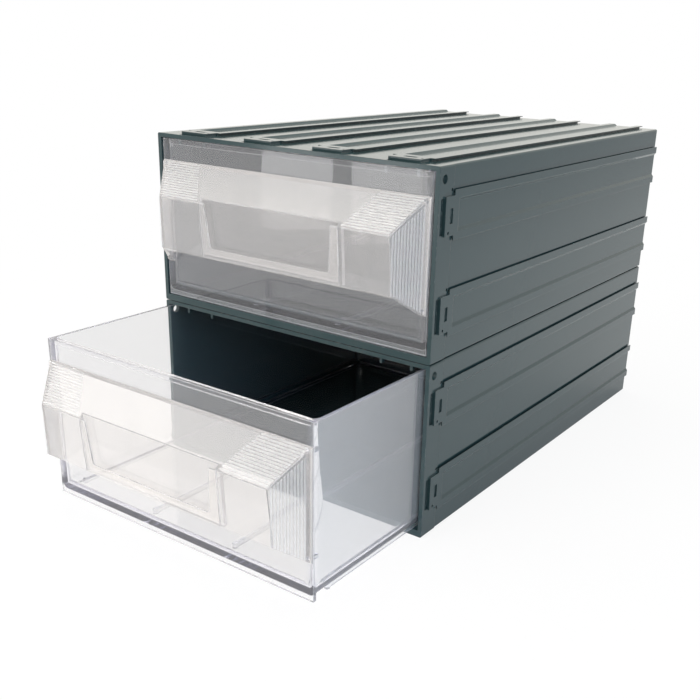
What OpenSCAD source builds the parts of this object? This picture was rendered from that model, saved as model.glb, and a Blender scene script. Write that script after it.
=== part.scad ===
// Stackable drawer box: two identical housings joined by sliding T-rails, each with
// a clear drawer that pulls out to the front and a clip-on pull with a label recess.
// Millimetres. The origin is the middle of the lower housing's base, +Z is up and
// the drawers open toward -Y.

/* [Housing] */
// Outer width of a housing
housing_w = 185; // [160:1:260]
// Depth of a housing, front to back
housing_d = 284; // [180:1:400]
// Height that each box adds to a stack
stack_pitch = 96; // [84:1:140]
// Thickness of the two side walls
side_wall = 2.4; // [2.4:0.1:4]
// Thickness of the floor
floor_wall = 3.6; // [2.8:0.1:5]
// Thickness of the ceiling
ceiling_wall = 2.2; // [1.8:0.1:4]
// Thickness of the back wall
back_wall = 2; // [1.2:0.1:4]
// Radius of the long outer edges
housing_edge_r = 1; // [0.4:0.1:1.4]
// Depth of the plain band behind the front rim
band_d = 13; // [12:0.5:24]
// Diameter of the hole in each side wall near the top front corner
side_hole_d = 4.4; // [2:0.1:5]
// Distance of that hole's centre from the front rim
side_hole_from_front = 4.5; // [4:0.1:8]
// Distance of that hole's centre from the housing's top
side_hole_from_top = 6.1; // [5.5:0.1:9]

/* [Stacking rails] */
// Number of rails on top, and of grooves below
top_rails = 4; // [2:1:4]
// Number of rails on the right side, and of grooves on the left
side_rails = 2; // [1:1:2]
// Gap between two housings that are joined
stack_gap = 0.4; // [0.3:0.05:0.5]
// Full width of a rail
rail_w = 24; // [20:0.5:32]
// Height of a rail above its wall
rail_h = 1.4; // [1.3:0.05:1.6]
// Width of one lip of a rail
rail_lip_w = 4; // [3:0.1:5]
// Depth of the channel between a rail's lips
rail_channel_depth = 1.1; // [0.6:0.05:1.2]
// Run of the channel's sloping sides
rail_channel_slope = 1.5; // [0.5:0.1:2]
// How far the upper part of a lip overhangs
rail_overhang = 1.9; // [1.2:0.1:2.2]
// Thickness of the overhanging part
rail_flange_t = 0.5; // [0.4:0.05:0.6]
// Running clearance between a rail and a groove
rail_clear = 0.1; // [0.05:0.05:0.15]
// Sideways clearance between a rail and a groove
rail_side_clear = 0.3; // [0.2:0.05:0.5]
// Distance from the front rim to the end tongue
tongue_start = 5; // [4.5:0.1:7]
// Full width of the end tongue
tongue_w = 18.8; // [12:0.2:19]
// Depth of the sloping pocket in front of the tongue
pocket_depth = 0.8; // [0.5:0.1:1.2]
// Length of that pocket, front to back
pocket_l = 3; // [2:0.1:4]
// Full width of that pocket
pocket_w = 17.2; // [12:0.2:20]
// Distance from the front rim to the slot across the tongue
tongue_slot_start = 9.1; // [8.6:0.1:10]
// Width of the slot across the tongue
tongue_slot_l = 2.6; // [1:0.1:3]
// Length of the slot across the tongue
tongue_slot_w = 7.2; // [4:0.2:10]
// Diameter of the dimples beside each rail's front end and on its tongue
dimple_d = 1.5; // [1:0.1:2]

/* [Drawer] */
// How far the lower drawer is open
lower_open = 86; // [0:1:170]
// How far the upper drawer is open
upper_open = 0; // [0:1:170]
// Gap on each side between drawer and housing
drawer_side_gap = 1; // [0.4:0.1:2]
// Gap between the drawer and the ceiling
drawer_top_gap = 0.5; // [0.4:0.1:2]
// Gap between the drawer's runners and the floor
runner_gap = 0.2; // [0.1:0.05:0.5]
// Gap behind the closed drawer
drawer_back_gap = 6.5; // [2:0.5:12]
// How far the drawer's face sits behind the front rim
face_inset = 0.5; // [0:0.1:2]
// Thickness of the drawer's front
drawer_front_t = 2; // [1.4:0.1:3]
// Thickness of the drawer's sides and back
drawer_wall = 1.8; // [1.2:0.1:3]
// Thickness of the drawer's floor
drawer_floor = 2; // [1.2:0.1:3]
// Radius inside the drawer's corners
drawer_corner_r = 5; // [3.5:0.1:12]
// Number of runners under the drawer
runners = 4; // [2:1:6]
// Height of a runner
runner_h = 2.6; // [0.5:0.1:4]
// How far the front's lower edge stays above the runners' feet
skirt_rise = 0.3; // [0.1:0.05:0.5]
// Thickness of the bar along the front's top edge, the front itself included
rim_t = 3.4; // [3.2:0.1:5]
// Height of that bar
rim_h = 2.8; // [2:0.1:5]
// Width of a runner
runner_w = 1.4; // [1:0.1:3]
// Diameter of the round foot at a runner's front end
runner_foot_d = 3; // [2:0.1:5]
// Distance from the drawer's front to the runners
runner_from_front = 14; // [8:0.5:30]
// Distance from the drawer's side to the outer runners
runner_from_side = 3; // [2.5:0.1:12]
// Height of the stop lugs that hang from the ceiling
lug_h = 4.4; // [2:0.1:6]
// Thickness of a stop lug, front to back
lug_t = 2; // [1.2:0.1:3]
// Width of a stop lug
lug_w = 1.6; // [1:0.1:3]
// Gap between the closed drawer's top bar and the lugs
lug_gap = 0.6; // [0.5:0.1:3]

/* [Pull] */
// Distance from the drawer's top edge down to the pull
pull_from_top = 11.4; // [6:0.1:14]
// Gap between the pull's end and the drawer's side
pull_end_gap = 0.5; // [0.2:0.1:3]
// How far the pull stands out from the drawer's front
pull_reach = 16.5; // [12:0.5:20]
// Height of the sloping top
pull_slope_h = 17.5; // [12:0.5:20]
// Height of the front face
pull_face_h = 29; // [24:0.5:34]
// How far the ends run down below the face
pull_tail_h = 11; // [6:0.5:14]
// How far the face's lower edge leans back
pull_lean = 2; // [1:0.1:3]
// Width of the bevel at each end
pull_bevel = 12.5; // [9:0.5:16]
// Thickness of the flat foot at each end
pull_foot_t = 1.2; // [0.8:0.1:2]
// Width of that foot beside the bevel
pull_foot_w = 1; // [0.5:0.1:2]
// Wall thickness
pull_wall = 1.8; // [1.2:0.1:2.4]
// Width of the solid cheek behind each end
cheek_w = 4; // [4:0.5:8]
// Width of the label slot
label_w = 92; // [60:1:100]
// Depth of the label slot behind the face
label_depth = 2.2; // [1.6:0.1:4]
// Height of the slot's floor above the face's lower edge
label_floor = 1.5; // [1:0.1:3]
// Width of the frame in front of the slot, at its foot
frame_w = 5.5; // [4:0.1:8]
// How much narrower the frame gets toward the top
frame_taper = 1.8; // [0.5:0.1:2.5]
// Height of the frame's lower bar
frame_bar_h = 5.3; // [4:0.1:8]
// Radius inside the frame's lower corners
frame_corner_r = 2; // [1:0.1:4]
// Thickness of the frame
frame_t = 1; // [0.8:0.1:1.4]
// How far the frame stands out from the face
frame_proud = 0.6; // [0.2:0.1:0.7]
// Spacing of the grip ribs
rib_pitch = 1.5; // [1.2:0.1:3]
// Width of a grip rib
rib_w = 0.7; // [0.4:0.05:1]
// Height of a grip rib
rib_h = 0.4; // [0.2:0.05:0.8]
// Plain margin between the label slot and the ribs
rib_from_label = 1.5; // [1:0.1:5]
// How far the rib field's inner edge runs outward going up
rib_field_slant = 14; // [8:0.5:20]
// Plain margin round the rib fields
rib_margin = 0.6; // [0.3:0.05:1.2]
// Diameter of the pegs that hold the pull
peg_d = 2.4; // [1.6:0.1:2.4]
// Clearance round a peg in its hole
peg_clear = 0.1; // [0.05:0.05:0.2]
// Distance of the pegs from the pull's ends
peg_from_end = 3; // [2.8:0.1:3.2]
// Distance of the upper pegs from the pull's top
peg_from_top = 2.2; // [2:0.1:8]
// Distance of the lower pegs from the pull's bottom
peg_from_bottom = 2.4; // [2:0.1:8]

/* [Hidden] */

$fn = 48;
cut = 1;            // overshoot of a cutting solid past the face that it opens
root = 0.5;         // depth to which an added solid is sunk into its wall

// Housing
front = -housing_d / 2;
housing_h = stack_pitch - stack_gap;
band_step = stack_gap;
side_face = housing_w / 2 - band_step;
cavity_w = housing_w - 2 * side_wall;
cavity_top = housing_h - ceiling_wall;
rail_pitch = housing_w / top_rails;
side_rail_pitch = stack_pitch / side_rails;

// Rail and groove sections
rail_half = rail_w / 2;
web_out = rail_half - rail_overhang;
web_in = rail_half - rail_lip_w;
channel_half = web_in - rail_channel_slope;
channel_z = rail_h - rail_channel_depth;
groove_depth = rail_h - stack_gap + rail_clear;
hook_t = rail_h - rail_flange_t - stack_gap - rail_clear;
groove_mouth = web_out + rail_side_clear;
groove_half = rail_half + rail_side_clear;
groove_start = tongue_start - rail_side_clear;

// Drawer
drawer_w = cavity_w - 2 * drawer_side_gap;
drawer_under = floor_wall + runner_gap + runner_h;
drawer_top = cavity_top - drawer_top_gap;
skirt_bottom = floor_wall + runner_gap + skirt_rise;
drawer_inner_w = drawer_w - 2 * drawer_wall;
drawer_inner_h = drawer_top - drawer_under - drawer_floor;
drawer_l = housing_d - back_wall - drawer_back_gap - face_inset;
drawer_inner_l = drawer_l - drawer_front_t - drawer_wall;
drawer_outer_r = drawer_corner_r - drawer_wall;
runner_pitch = (drawer_w - 2 * runner_from_side) / (runners - 1);
runner_l = drawer_l - 2 * runner_from_front;
lug_front = face_inset + rim_t + lug_gap;

// Pull, with y = 0 on the drawer's front
pull_half = drawer_w / 2 - pull_end_gap;
pull_top = drawer_top - pull_from_top;
face_top = pull_top - pull_slope_h;
face_bottom = face_top - pull_face_h;
pull_bottom = face_bottom - pull_tail_h;
slope_l = sqrt(pull_reach * pull_reach + pull_slope_h * pull_slope_h);
slope_angle = atan2(pull_slope_h, pull_reach);
face_half = pull_half - pull_bevel;
foot_half = pull_half - pull_foot_w;
bevel_run = foot_half - face_half;
bevel_reach = pull_reach - pull_foot_t;
bevel_l = sqrt(bevel_run * bevel_run + bevel_reach * bevel_reach);
bevel_angle = atan2(bevel_reach, bevel_run);
label_half = label_w / 2;
rib_inner = label_half + rib_from_label;
frame_back = frame_t - frame_proud;
slope_ribs = floor((slope_l - 2 * rib_margin) / rib_pitch);
bevel_ribs = floor((bevel_l - 2 * rib_margin) / rib_pitch);
bevel_rib_end = 2 * rib_margin + rib_h;

// Height of the pull's sloping top, and position of its leaning face
function slope_z(y) = pull_top + y * pull_slope_h / pull_reach;
function face_y(z) = (face_top - z) * pull_lean / pull_face_h - pull_reach;

// ---- shared shapes ----

// Rectangle centred on x with its lower edge on y = 0 and round corners
module round_rect(w, h, r)
{
    translate([-w / 2 + r, 0]) square([w - 2 * r, h]);
    translate([-w / 2, r]) square([w, h - 2 * r]);
    for (x = [r - w / 2, w / 2 - r])
        for (y = [r, h - r])
            translate([x, y]) circle(r);
}

// Runs an x-z outline from y = a to y = b
module along_y(a, b)
{
    translate([0, b, 0]) rotate([90, 0, 0]) linear_extrude(b - a) children();
}

// Runs a y-z outline from x = a to x = b
module along_x(a, b)
{
    translate([a, 0, 0]) rotate([90, 0, 90]) linear_extrude(b - a) children();
}

// ---- rails and grooves: x across, y back from the front rim, z out of the wall ----

module rail()
{
    along_y(band_d, housing_d)
        polygon([
            [-web_out, -root], [web_out, -root], [web_out, rail_h - rail_flange_t],
            [rail_half, rail_h - rail_flange_t], [rail_half, rail_h], [web_in, rail_h],
            [channel_half, channel_z], [-channel_half, channel_z],
            [-web_in, rail_h], [-rail_half, rail_h], [-rail_half, rail_h - rail_flange_t],
            [-web_out, rail_h - rail_flange_t]
        ]);
    difference() {
        translate([-tongue_w / 2, tongue_start, -root])
            cube([tongue_w, band_d + rail_lip_w - tongue_start, rail_h + root]);
        translate([-tongue_slot_w / 2, tongue_slot_start, 0])
            cube([tongue_slot_w, tongue_slot_l, rail_h + cut]);
        translate([tongue_w / 2 - dimple_d, tongue_start + 2 * dimple_d, rail_h - dimple_d / 2])
            cylinder(h = dimple_d, d = dimple_d);
    }
}

// Pocket in front of the tongue and the dimple beside the rail's end
module rail_recess()
{
    along_x(-pocket_w / 2, pocket_w / 2)
        polygon([
            [tongue_start - pocket_l, 0], [tongue_start, -pocket_depth],
            [tongue_start, cut], [tongue_start - pocket_l, cut]
        ]);
    translate([-rail_half, band_d - dimple_d, -dimple_d / 2])
        cylinder(h = dimple_d, d = dimple_d);
}

module groove()
{
    along_y(groove_start, housing_d + cut)
        polygon([
            [-groove_mouth, cut], [-groove_mouth, -hook_t], [-groove_half, -hook_t],
            [-groove_half, -groove_depth], [groove_half, -groove_depth],
            [groove_half, -hook_t], [groove_mouth, -hook_t], [groove_mouth, cut]
        ]);
}

module on_top()
{
    for (i = [0 : top_rails - 1])
        translate([(i + 0.5) * rail_pitch - housing_w / 2, front, housing_h])
            children();
}

module on_base()
{
    for (i = [0 : top_rails - 1])
        translate([(i + 0.5) * rail_pitch - housing_w / 2, front, 0])
            mirror([0, 0, 1]) children();
}

module on_right()
{
    for (i = [0 : side_rails - 1])
        translate([side_face, front, (i + 0.5) * side_rail_pitch])
            rotate([0, 90, 0]) children();
}

module on_left()
{
    for (i = [0 : side_rails - 1])
        translate([-housing_w / 2, front, (i + 0.5) * side_rail_pitch])
            rotate([0, -90, 0]) children();
}

// ---- housing ----

module stop_lugs()
{
    for (side = [-1, 1])
        for (edge = [-1, 1])
            translate([
                side * (housing_w - rail_pitch) / 2 + edge * (web_out - lug_w / 2) - lug_w / 2,
                front + lug_front,
                cavity_top - lug_h
            ])
                cube([lug_w, lug_t, lug_h + root]);
}

module housing()
{
    difference() {
        union() {
            along_y(front, front + band_d)
                round_rect(housing_w, housing_h, housing_edge_r);
            translate([-band_step / 2, 0, 0])
                along_y(front, -front)
                    round_rect(housing_w - band_step, housing_h, housing_edge_r);
        }
        translate([-cavity_w / 2, front - cut, floor_wall])
            cube([cavity_w, housing_d - back_wall + cut, cavity_top - floor_wall]);
        on_top() rail_recess();
        on_right() rail_recess();
        on_base() groove();
        on_left() groove();
        translate([0, front + side_hole_from_front, housing_h - side_hole_from_top])
            rotate([0, 90, 0])
                cylinder(h = housing_w + 2 * cut, d = side_hole_d, center = true);
    }
    on_top() rail();
    on_right() rail();
    stop_lugs();
}

// ---- drawer: closed position ----

module drawer_cavity()
{
    r = drawer_corner_r;
    open_h = drawer_inner_h + r + cut;
    y0 = drawer_front_t;
    z0 = drawer_under + drawer_floor;
    intersection() {
        translate([0, 0, z0])
            along_y(y0, y0 + drawer_inner_l) round_rect(drawer_inner_w, open_h, r);
        translate([0, y0 + drawer_inner_l / 2, z0])
            along_x(-drawer_inner_w / 2, drawer_inner_w / 2)
                round_rect(drawer_inner_l, open_h, r);
        translate([0, y0, z0])
            linear_extrude(open_h) round_rect(drawer_inner_w, drawer_inner_l, r);
    }
}

module drawer_body()
{
    r = drawer_outer_r;
    w = drawer_w;
    translate([-w / 2, 0, skirt_bottom]) cube([w, drawer_front_t, drawer_top - skirt_bottom]);
    intersection() {
        translate([0, 0, drawer_under])
            along_y(0, drawer_l) round_rect(w, drawer_top - drawer_under + r, r);
        translate([0, -r, drawer_under])
            linear_extrude(drawer_top - drawer_under) round_rect(w, drawer_l + r, r);
    }
}

module runner()
{
    translate([-runner_w / 2, runner_from_front, drawer_under - runner_h])
        cube([runner_w, runner_l, runner_h + drawer_floor / 2]);
    translate([0, runner_from_front, drawer_under - runner_h])
        cylinder(h = runner_h + drawer_floor / 2, d = runner_foot_d);
}

module at_pegs()
{
    for (x = [peg_from_end - pull_half, pull_half - peg_from_end])
        for (z = [pull_bottom + peg_from_bottom, pull_top - peg_from_top])
            translate([x, 0, z]) rotate([-90, 0, 0]) children();
}

module drawer()
{
    translate([0, front + face_inset, 0]) {
        difference() {
            drawer_body();
            drawer_cavity();
            translate([0, -cut, 0]) at_pegs()
                cylinder(h = drawer_front_t + drawer_corner_r, d = peg_d + 2 * peg_clear);
        }
        translate([-drawer_w / 2, 0, drawer_top - rim_h]) cube([drawer_w, rim_t, rim_h]);
        for (i = [0 : runners - 1])
            translate([runner_from_side - drawer_w / 2 + i * runner_pitch, 0, 0]) runner();
    }
}

// ---- pull ----

// Outline from the side: sloping top, leaning face, and the ends' slanting lower edge
module pull_section()
{
    polygon([
        [0, pull_top], [-pull_reach, face_top],
        [pull_lean - pull_reach, face_bottom], [0, pull_bottom]
    ]);
}

// Outline from above: bevelled ends on a thin flat foot
module pull_plan()
{
    polygon([
        [-pull_half, 0], [-pull_half, -pull_foot_t], [-foot_half, -pull_foot_t],
        [-face_half, -pull_reach], [face_half, -pull_reach],
        [foot_half, -pull_foot_t], [pull_half, -pull_foot_t], [pull_half, 0]
    ]);
}

// Slab parallel to the leaning face, from depth d0 to depth d1 behind it
module face_slab(half_w, d0, d1, z0, z1)
{
    along_x(-half_w, half_w)
        polygon([
            [face_y(z0) + d0, z0], [face_y(z0) + d1, z0],
            [face_y(z1) + d1, z1], [face_y(z1) + d0, z1]
        ]);
}

// Space inside the pull, open to the drawer's front and below
module pull_hollow()
{
    y1 = pull_wall - pull_reach;
    z1 = slope_z(y1) - pull_wall * slope_l / pull_reach;
    z0 = pull_bottom - cut;
    difference() {
        intersection() {
            along_x(-pull_half, pull_half)
                polygon([
                    [cut, z0], [face_y(z0) + pull_wall, z0],
                    [y1, z1], [cut, z1 + slope_z(cut) - slope_z(y1)]
                ]);
            linear_extrude(pull_top)
                polygon([
                    [cheek_w - pull_half, cut], [pull_wall - face_half, -pull_reach],
                    [face_half - pull_wall, -pull_reach], [pull_half - cheek_w, cut]
                ]);
        }
        face_slab(label_half + pull_wall, -cut, label_depth + pull_wall, face_bottom, pull_top);
    }
}

// Opening of the label frame seen from the front: x across, z up
module label_window()
{
    half_w = label_half - frame_w;
    z0 = face_bottom + frame_bar_h;
    z1 = z0 + frame_corner_r;
    polygon([
        [-half_w, z1], [half_w, z1],
        [half_w + frame_taper, face_top + cut], [-half_w - frame_taper, face_top + cut]
    ]);
    translate([frame_corner_r - half_w, z0])
        square([2 * (half_w - frame_corner_r), frame_corner_r + cut]);
    for (x = [frame_corner_r - half_w, half_w - frame_corner_r])
        translate([x, z1]) circle(frame_corner_r);
}

module pull_shell()
{
    difference() {
        union() {
            intersection() {
                along_x(-pull_half, pull_half) pull_section();
                linear_extrude(pull_top) pull_plan();
            }
            face_slab(label_half + root, -frame_proud, root, face_bottom, face_top);
        }
        pull_hollow();
        face_slab(label_half, frame_back, label_depth, face_bottom + label_floor, pull_top);
        intersection() {
            along_y(-pull_reach - frame_proud - cut, 0) label_window();
            face_slab(label_half, -frame_proud - cut, frame_back + root, face_bottom, pull_top);
        }
    }
}

module slope_rib_fields()
{
    intersection() {
        translate([0, 0, pull_top]) rotate([slope_angle, 0, 0])
            for (i = [0 : slope_ribs - 1])
                translate([
                    -pull_half,
                    -(slope_l - (slope_ribs - 1) * rib_pitch) / 2 - i * rib_pitch - rib_w / 2,
                    -root
                ])
                    cube([2 * pull_half, rib_w, root + rib_h]);
        for (side = [0, 1])
            mirror([side, 0, 0]) linear_extrude(pull_top + rib_h)
                polygon([
                    [rib_inner, -pull_reach], [rib_inner + rib_field_slant, 0],
                    [foot_half - rib_margin, 0], [face_half - rib_margin, -pull_reach]
                ]);
    }
}

module bevel_rib_fields()
{
    intersection() {
        for (side = [0, 1])
            mirror([side, 0, 0])
                translate([face_half, -pull_reach, 0]) rotate([0, 0, bevel_angle])
                    for (i = [0 : bevel_ribs - 1])
                        translate([
                            (bevel_l - (bevel_ribs - 1) * rib_pitch) / 2 + i * rib_pitch - rib_w / 2,
                            -rib_h,
                            0
                        ])
                            cube([rib_w, root + rib_h, pull_top]);
        along_x(-pull_half, pull_half)
            polygon([
                [cut, pull_top - bevel_rib_end], [0, pull_top - bevel_rib_end],
                [-pull_reach - cut, face_top - bevel_rib_end - cut],
                [-pull_reach - cut, face_bottom + rib_margin],
                [pull_lean - pull_reach, face_bottom + rib_margin],
                [0, pull_bottom + rib_margin], [cut, pull_bottom + rib_margin]
            ]);
    }
}

module pull()
{
    translate([0, front + face_inset, 0]) {
        pull_shell();
        slope_rib_fields();
        bevel_rib_fields();
        translate([0, -root, 0]) at_pegs()
            cylinder(h = drawer_front_t + root, d = peg_d);
    }
}

// ---- the pieces ----

module lower_housing()
{
    color([0.36, 0.41, 0.40]) housing();
}

module upper_housing()
{
    color([0.36, 0.41, 0.40]) translate([0, 0, stack_pitch]) housing();
}

module lower_drawer()
{
    color([0.92, 0.91, 0.92]) translate([0, -lower_open, 0]) drawer();
}

module upper_drawer()
{
    color([0.92, 0.91, 0.92]) translate([0, -upper_open, stack_pitch]) drawer();
}

module lower_pull()
{
    color([0.86, 0.84, 0.82]) translate([0, -lower_open, 0]) pull();
}

module upper_pull()
{
    color([0.86, 0.84, 0.82]) translate([0, -upper_open, stack_pitch]) pull();
}

lower_housing();
upper_housing();
lower_drawer();
upper_drawer();
lower_pull();
upper_pull();
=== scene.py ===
import bpy
from mathutils import Euler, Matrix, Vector


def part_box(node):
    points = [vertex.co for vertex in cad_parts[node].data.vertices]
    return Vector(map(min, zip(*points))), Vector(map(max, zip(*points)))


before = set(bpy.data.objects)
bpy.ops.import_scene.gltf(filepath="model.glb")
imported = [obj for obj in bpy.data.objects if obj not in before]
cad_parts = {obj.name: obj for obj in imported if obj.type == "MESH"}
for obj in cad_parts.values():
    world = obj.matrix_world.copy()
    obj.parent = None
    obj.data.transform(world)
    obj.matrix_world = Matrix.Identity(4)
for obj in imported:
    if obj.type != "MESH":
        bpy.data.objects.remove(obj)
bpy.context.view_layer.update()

scene = bpy.context.scene

MM = 0.001


def add_object(name, data):
    obj = bpy.data.objects.new(name, data)
    scene.collection.objects.link(obj)
    return obj


# ---- camera: fitted to the photograph ----

IMAGE = 700                   # width and height of the photograph, in pixels
FOCAL = 932.36                # focal length, in pixels
CENTRE = (384.09, 389.23)     # principal point, in pixels
SENSOR = 36                   # width of the sensor, in millimetres
CAMERA_PLACE = (0.31593, -0.51015, 0.24682)
CAMERA_TURN = Euler((1.20664, -0.03289, 0.60942))


def photo_camera():
    data = bpy.data.cameras.new("camera")
    data.sensor_width = SENSOR
    data.lens = FOCAL / IMAGE * SENSOR
    data.shift_x = (IMAGE / 2 - CENTRE[0]) / IMAGE
    data.shift_y = (CENTRE[1] - IMAGE / 2) / IMAGE
    data.clip_start = 10 * MM
    camera = add_object("camera", data)
    camera.location = CAMERA_PLACE
    camera.rotation_euler = CAMERA_TURN
    return camera


scene.camera = photo_camera()
scene.view_settings.view_transform = "Standard"

# A ray passes many clear walls, so it may bounce more often than Blender's own limits allow
scene.cycles.max_bounces = 24
scene.cycles.glossy_bounces = 12
scene.cycles.transmission_bounces = 20


# ---- shader nodes ----

MIX_FACTOR, MIX_A, MIX_B = 0, 6, 7     # inputs of a Mix node that mixes colours
MIX_RESULT = 2                         # its output
NOISE_SPAN = (0.3, 0.7)                # most values of a noise lie between these
EDGE_SPAN = (0.75, 0.97)               # cosine of rounded to true normal, on an edge and off it


class Tree:
    """The shader nodes of a material or a world, made by short calls."""

    def __init__(self, owner, output="OutputMaterial"):
        owner.use_nodes = True
        self.owner = owner
        self.nodes = owner.node_tree.nodes
        self.links = owner.node_tree.links
        self.nodes.clear()
        self.output = self.add(output)

    def add(self, kind, **inputs):
        node = self.nodes.new("ShaderNode" + kind)
        for key, value in inputs.items():
            self.put(node, key.replace("_", " "), value)
        return node

    def put(self, node, key, value):
        """Links an input, given by its name or number, to a socket, or sets its value."""
        if isinstance(value, bpy.types.NodeSocket):
            self.links.new(value, node.inputs[key])
        else:
            node.inputs[key].default_value = value

    def coords(self):
        return self.add("TexCoord").outputs["Object"]

    def normal(self):
        return self.add("TexCoord").outputs["Normal"]

    def part(self, vector, axis):
        return self.add("SeparateXYZ", Vector=vector).outputs[axis]

    def noise(self, scale, detail):
        return self.add("TexNoise", Vector=self.coords(), Scale=scale, Detail=detail).outputs["Fac"]

    def ramp(self, value, span, low, high):
        """Runs from low to high while the value runs through the span, and stays there beyond."""
        node = self.add("MapRange", Value=value, From_Min=span[0], From_Max=span[1])
        node.clamp = True
        self.put(node, "To Min", low)
        self.put(node, "To Max", high)
        return node.outputs["Result"]

    def mix(self, factor, a, b):
        node = self.add("Mix")
        node.data_type = "RGBA"
        self.put(node, MIX_FACTOR, factor)
        self.put(node, MIX_A, a)
        self.put(node, MIX_B, b)
        return node.outputs[MIX_RESULT]

    def mix_shader(self, factor, a, b):
        node = self.add("MixShader")
        for i, value in enumerate((factor, a.outputs[0], b.outputs[0])):
            self.put(node, i, value)
        return node.outputs[0]

    def maths(self, operation, a, b, clamp=False):
        node = self.add("Math")
        node.operation = operation
        node.use_clamp = clamp
        self.put(node, 0, a)
        self.put(node, 1, b)
        return node.outputs[0]

    def vector(self, operation, a, b=None):
        node = self.add("VectorMath")
        node.operation = operation
        self.put(node, 0, a)
        if b is not None:
            self.put(node, 1, b)
        return node.outputs["Value" if operation in ("DOT_PRODUCT", "LENGTH") else "Vector"]

    def rounded(self, radius):
        """The normal that the surface would have if its edges were rounded."""
        node = self.add("Bevel", Radius=radius)
        node.samples = 4
        return node.outputs["Normal"]

    def edge(self, soft, amount):
        """amount along the edges, where the rounded normal leaves the face's, and 0 elsewhere."""
        face = self.add("NewGeometry").outputs["True Normal"]
        return self.ramp(self.vector("DOT_PRODUCT", soft, face), EDGE_SPAN, amount, 0.0)

    def bump(self, height, distance, strength, normal):
        node = self.add("Bump", Height=height, Distance=distance, Strength=strength, Normal=normal)
        return node.outputs["Normal"]

    def surface(self, shader):
        self.put(self.output, "Surface", shader)


# ---- housings ----

PLASTIC_IOR = 1.5
HOUSING_DARK = (0.023, 0.050, 0.053, 1)
HOUSING_LIGHT = (0.032, 0.062, 0.063, 1)
HOUSING_ROUGH = (0.09, 0.14)
HOUSING_EDGE = 0.4 * MM       # radius of the rounded edges
GRAIN_DEPTH = 0.02 * MM
GRAIN_STRENGTH = 0.25
# colour and strength of the painted highlight, a light broken line along the housing's edges
HOUSING_EDGE_HIGHLIGHT = (0.30, 0.34, 0.33, 1)
HOUSING_HIGHLIGHT_SPAN = (0.56, 0.64)    # values of a noise where the painted edge highlight is faint, and bright
HOUSING_HIGHLIGHT_FAINT, HOUSING_HIGHLIGHT_BRIGHT = 0.12, 0.75


def housing_plastic():
    """Satin grey-green, cloudy and finely grained, with a painted highlight along the edges as a
    light broken line.
    """
    tree = Tree(bpy.data.materials.new("housing_plastic"))
    grain = tree.noise(scale=2600, detail=2)
    soft = tree.rounded(HOUSING_EDGE)
    # painted highlight: a lighter colour along the edges, broken up in specks
    highlight_specks = tree.ramp(tree.noise(scale=380, detail=3), HOUSING_HIGHLIGHT_SPAN, HOUSING_HIGHLIGHT_FAINT, HOUSING_HIGHLIGHT_BRIGHT)
    painted_highlight = tree.maths("MULTIPLY", tree.edge(soft, 1.0), highlight_specks)
    colour = tree.mix(tree.noise(scale=22, detail=4), HOUSING_DARK, HOUSING_LIGHT)
    plastic = tree.add(
        "BsdfPrincipled", IOR=PLASTIC_IOR,
        Base_Color=tree.mix(painted_highlight, colour, HOUSING_EDGE_HIGHLIGHT),
        Roughness=tree.ramp(grain, NOISE_SPAN, *HOUSING_ROUGH),
        Normal=tree.bump(grain, GRAIN_DEPTH, GRAIN_STRENGTH, soft),
    )
    tree.surface(plastic.outputs[0])
    return tree.owner


# ---- clear plastic. Its haze is the share of the light that it scatters ----

SHADOW_CLEAR = (0.93, 0.93, 0.94, 1)   # what a clear surface lets through of a lamp's light
RIPPLE_DEPTH = 0.2 * MM
RIPPLE_STRENGTH = 0.16
EDGE_PAINTED_HIGHLIGHT = 0.5                        # haze added along the edges, as a painted highlight
EDGE_WIDTH = 1.4                       # radius of that painted highlight, as a factor on the edge's own
DUST_HAZE = 0.03                       # how far dust changes the haze, as a share of it
DUST_ROUGH = 1.4                       # how much rougher than polished the dustiest specks are


def dusty(tree, low, high):
    """Runs from low to high in fine specks."""
    return tree.ramp(tree.noise(scale=260, detail=2), NOISE_SPAN, low, high)


def dusty_haze(tree, share):
    return dusty(tree, (1 - DUST_HAZE) * share, (1 + DUST_HAZE) * share)


# painted highlight: more haze along the edges, so that they show as whitish lines
def edge_painted_highlight(tree, radius):
    return tree.edge(tree.rounded(EDGE_WIDTH * radius), EDGE_PAINTED_HIGHLIGHT)


def clear_plastic(tree, haze, radius, rough, colour, tint, density):
    """
    Polished clear plastic with a faint ripple. radius is that of its rounded edges,
    tint the colour of its inside, and density the absorption per metre.
    """
    ripple = tree.noise(scale=34, detail=1)
    plastic = tree.add(
        "BsdfPrincipled", IOR=PLASTIC_IOR, Base_Color=colour,
        Transmission_Weight=tree.maths("SUBTRACT", 1.0, haze, clamp=True),
        Roughness=dusty(tree, rough, DUST_ROUGH * rough),
        Normal=tree.bump(ripple, RIPPLE_DEPTH, RIPPLE_STRENGTH, tree.rounded(radius)),
    )
    shadow = tree.add("BsdfTransparent", Color=SHADOW_CLEAR)
    to_lamp = tree.add("LightPath").outputs["Is Shadow Ray"]
    tree.surface(tree.mix_shader(to_lamp, plastic, shadow))
    inside = tree.add("VolumeAbsorption", Color=tint, Density=density)
    tree.put(tree.output, "Volume", inside.outputs[0])
    return tree.owner


# ---- drawers ----

DRAWER_EDGE = 0.4 * MM
FADE_START = 7 * MM                # how far behind the front the painted light on the sides starts to fade
FADE_LENGTH = 85 * MM
FACING_SPAN = (0.2, 0.9)           # a normal's share along an axis, on faces along and square to it
MIDDLE_SPAN = (-2 * MM, 2 * MM)    # how far a face's plane lies beyond the drawer's middle

# Factors on the haze. A face gets all those that fit it
SIDE_PAINTED_LIGHT = (2.2, 1.1)            # painted light on the sides, before and after it fades toward the back as painted shade
OTHER_FACE_HAZE = 0.9                  # on all faces but the sides
LEVEL_PAINTED_SHADE = 0.3                  # painted shade on level faces, such as the underside
INNER_FACE_HAZE = 0.2                  # on inner faces


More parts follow.
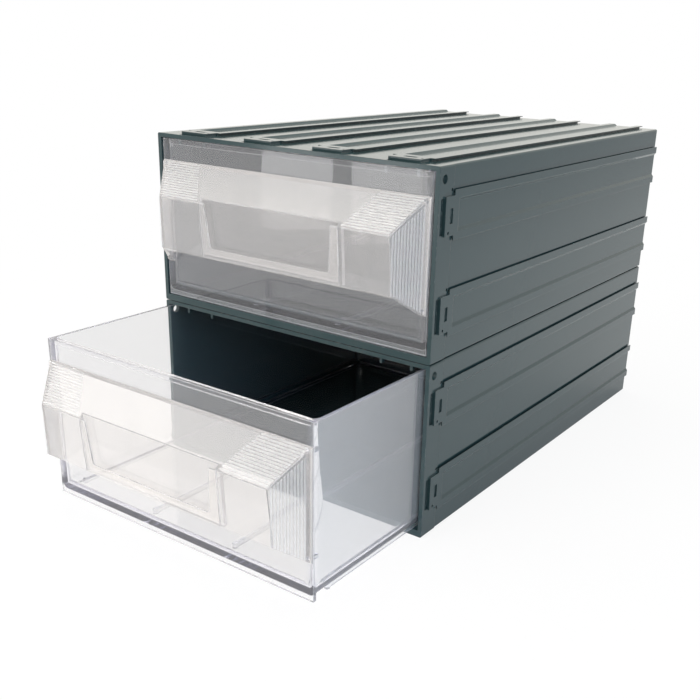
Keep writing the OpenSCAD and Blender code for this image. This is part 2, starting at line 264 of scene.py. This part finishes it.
def outward(tree, centre, inner, outer):
    """outer on faces that look away from the centre, inner on faces that look toward it."""
    away = tree.vector("SUBTRACT", tree.coords(), centre)
    return tree.ramp(tree.vector("DOT_PRODUCT", away, tree.normal()), MIDDLE_SPAN, inner, outer)


def drawer_plastic(level):
    """Haze that paints light and shade: more on the outer faces than the inner ones, most on the
    sides as painted light that fades toward the back, least on level faces such as the underside as
    painted shade.
    """
    tree = Tree(bpy.data.materials.new(level + "_drawer_plastic"))
    lowest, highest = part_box(level + "_drawer")
    start = lowest.y + FADE_START
    along = tree.part(tree.coords(), "Y")
    # painted light on the sides, fading toward the back as painted shade
    sides = tree.ramp(along, (start, start + FADE_LENGTH), *SIDE_PAINTED_LIGHT)
    facing = tree.vector("ABSOLUTE", tree.normal())
    haze = dusty_haze(tree, share=0.105)
    # these factors paint the sides lighter and the level faces darker, as light and shade
    for haze_factor in (
        tree.ramp(tree.part(facing, "X"), FACING_SPAN, OTHER_FACE_HAZE, sides),
        tree.ramp(tree.part(facing, "Z"), FACING_SPAN, 1.0, LEVEL_PAINTED_SHADE),
        outward(tree, (lowest + highest) / 2, INNER_FACE_HAZE, 1.0),
    ):
        haze = tree.maths("MULTIPLY", haze, haze_factor)
    # painted highlight along the edges
    haze = tree.maths("ADD", haze, edge_painted_highlight(tree, DRAWER_EDGE))
    return clear_plastic(
        tree, haze, radius=DRAWER_EDGE, rough=0.01, colour=(0.968, 0.962, 0.942, 1),
        tint=(0.20, 0.16, 0.58, 1), density=20,
    )


# ---- pulls ----

PULL_EDGE = 0.2 * MM
REACH = 16.5 * MM                      # how far a pull's face stands out from the drawer's front
SLOPE_H = 17.5 * MM                    # height of its sloping top
BEVEL_W = 12.5 * MM                    # width of the bevel at each end, with its foot
FOOT_W, FOOT_T = 1 * MM, 1.2 * MM      # width and thickness of the foot beside the bevel
RIB_SPAN = (0.15 * MM, 0.3 * MM)       # heights above a face between which the painted highlight on its ribs sets in
RIB_PAINTED_HIGHLIGHT = 0.2                         # haze added on the ribs, which are 0.4 mm high, as a painted highlight
UP_SPAN = (0.3, 0.65)                  # a normal's upward shares between which the painted light from above sets in
UP_PAINTED_LIGHT = 0.09                         # haze added as that painted light


def rib_planes(level):
    """(point, normal) of the faces that the grip ribs stand on: the slope and the bevels."""
    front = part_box(level + "_drawer")[0].y
    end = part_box(level + "_pull")[1]
    run = BEVEL_W - FOOT_W
    planes = [((0, front, end.z), (0, -SLOPE_H, REACH))]
    for side in (-1, 1):
        point = (side * (end.x - BEVEL_W), front - REACH, end.z)
        planes.append((point, (side * (REACH - FOOT_T), -run, 0)))
    return planes


def on_ribs(tree, planes, amount):
    """amount on what stands out from any of the planes as a rib does, and 0 elsewhere."""
    most = 0.0
    for point, normal in planes:
        normal = Vector(normal).normalized()
        plane = normal.dot(Vector(point))
        height = tree.vector("DOT_PRODUCT", tree.coords(), normal)
        here = tree.ramp(height, [plane + rise for rise in RIB_SPAN], 0.0, amount)
        most = tree.maths("MAXIMUM", most, here)
    return most


def pull_plastic(level):
    """Hazier on the ribs and on the faces that look up: a painted highlight on the ribs and painted
    light from above.
    """
    tree = Tree(bpy.data.materials.new(level + "_pull_plastic"))
    haze = dusty_haze(tree, share=0.14)
    # painted highlights on the edges and ribs, and painted light on the faces that look up
    for more in (
        edge_painted_highlight(tree, PULL_EDGE),
        on_ribs(tree, rib_planes(level), RIB_PAINTED_HIGHLIGHT),
        tree.ramp(tree.part(tree.normal(), "Z"), UP_SPAN, 0.0, UP_PAINTED_LIGHT),
    ):
        haze = tree.maths("ADD", haze, more)
    return clear_plastic(
        tree, haze, radius=PULL_EDGE, rough=0.02, colour=(0.955, 0.932, 0.908, 1),
        tint=(0.5, 0.52, 0.66, 1), density=12,
    )


def dress(name, material):
    """Gives a whole node one material."""
    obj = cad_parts[name]
    if not obj.material_slots:
        obj.data.materials.append(material)
    for slot in obj.material_slots:
        slot.material = material


housing = housing_plastic()
for level in ("lower", "upper"):
    dress(level + "_housing", housing)
    dress(level + "_pull", pull_plastic(level))
    dress(level + "_drawer", drawer_plastic(level))


# ---- floor and background ----

WHITE = (1, 1, 1, 1)
MIRRORED_WHITE = (1.0, 0.985, 0.93, 1)   # the background in reflections
SKY = (0.93, 0.96, 1, 1)
SKY_STRENGTH = 0.45
FLOOR_COLOUR = (0.92, 0.91, 0.89, 1)
FLOOR_SIZE = 12
FLOOR_DROP = 0.1 * MM                    # keeps the floor clear of the lower housing's base
FLOOR_MIRRORED = 0.35                    # how white the floor is in reflections
NEAR_WHITE = 0.9                         # how white it is near the box, where its shadow is
NEAR_SPAN = (0.25, 0.7)                  # distances from the box's middle where that ends


def in_view(tree, mirrored):
    """1 for rays from the camera or through clear plastic, mirrored for reflected ones, else 0."""
    rays = tree.add("LightPath").outputs
    seen = tree.maths("MAXIMUM", rays["Is Camera Ray"], rays["Is Transmission Ray"])
    return tree.maths("MAXIMUM", seen, tree.maths("MULTIPLY", rays["Is Glossy Ray"], mirrored))


def studio_floor():
    """Pale floor that looks white in view, a little less so near the box."""
    tree = Tree(bpy.data.materials.new("studio_floor"))
    far = tree.ramp(tree.vector("LENGTH", tree.coords()), NEAR_SPAN, NEAR_WHITE, 1.0)
    white = tree.maths("MULTIPLY", in_view(tree, FLOOR_MIRRORED), far)
    lit = tree.add("BsdfDiffuse", Color=FLOOR_COLOUR)
    tree.surface(tree.mix_shader(white, lit, tree.add("Emission", Strength=1.0)))
    return tree.owner


def white_world():
    """White in view, and a soft sky for all other rays."""
    tree = Tree(bpy.data.worlds.new("studio"), "OutputWorld")
    colour = tree.mix(tree.add("LightPath").outputs["Is Glossy Ray"], WHITE, MIRRORED_WHITE)
    sky = tree.add("Background", Color=SKY, Strength=SKY_STRENGTH)
    tree.surface(tree.mix_shader(in_view(tree, 1.0), sky, tree.add("Background", Color=colour)))
    return tree.owner


scene.world = white_world()
bpy.ops.mesh.primitive_plane_add(size=FLOOR_SIZE, location=(0, 0, -FLOOR_DROP))
floor = bpy.context.object
floor.name = "floor"
floor.data.materials.append(studio_floor())


# ---- lamps ----

LAMPS = (
    # name, place, what it shines on, width, power in watts, colour
    ("top_lamp", (-0.2, 0.1, 1.5), (0, 0, 0.1), 1.6, 17, (1, 0.97, 0.92)),
    ("front_lamp", (-1.5, -4.0, 2.8), (0, -0.1, 0.1), 3.6, 76, (1, 0.97, 0.94)),
    ("window_lamp", (-1.2, -4.8, 0.8), (0, 0, 0.08), 1.8, 24, (0.9, 0.93, 1)),
    ("side_lamp", (1.3, -0.6, 0.6), (0, -0.1, 0.1), 1.0, 5.5, (0.45, 0.68, 1)),
)
PANES = (("left_pane", -0.417), ("right_pane", -0.283))   # name and x
PANE_W, PANE_H = 0.085, 0.16
PANE_POWER = 0.095


def area_lamp(name, place, target, width, power, colour=(1, 1, 1), mirrored=False):
    """A round lamp that shines on the target. Only if mirrored does it show in reflections."""
    data = bpy.data.lights.new(name, "AREA")
    data.shape = "DISK"
    data.size = width
    data.energy = power
    data.color = colour
    lamp = add_object(name, data)
    lamp.location = place
    lamp.rotation_euler = (Vector(place) - Vector(target)).to_track_quat("Z", "Y").to_euler()
    lamp.visible_glossy = mirrored
    return lamp


for lamp in LAMPS:
    area_lamp(*lamp)

# Two upright window panes that the upper drawer's front mirrors
for name, x in PANES:
    place = (x, -0.65, 0.1)
    target = (x + 0.8, 0.4, 0.2)
    pane = area_lamp(name, place, target, PANE_W, PANE_POWER, mirrored=True)
    pane.data.shape = "RECTANGLE"
    pane.data.size_y = PANE_H
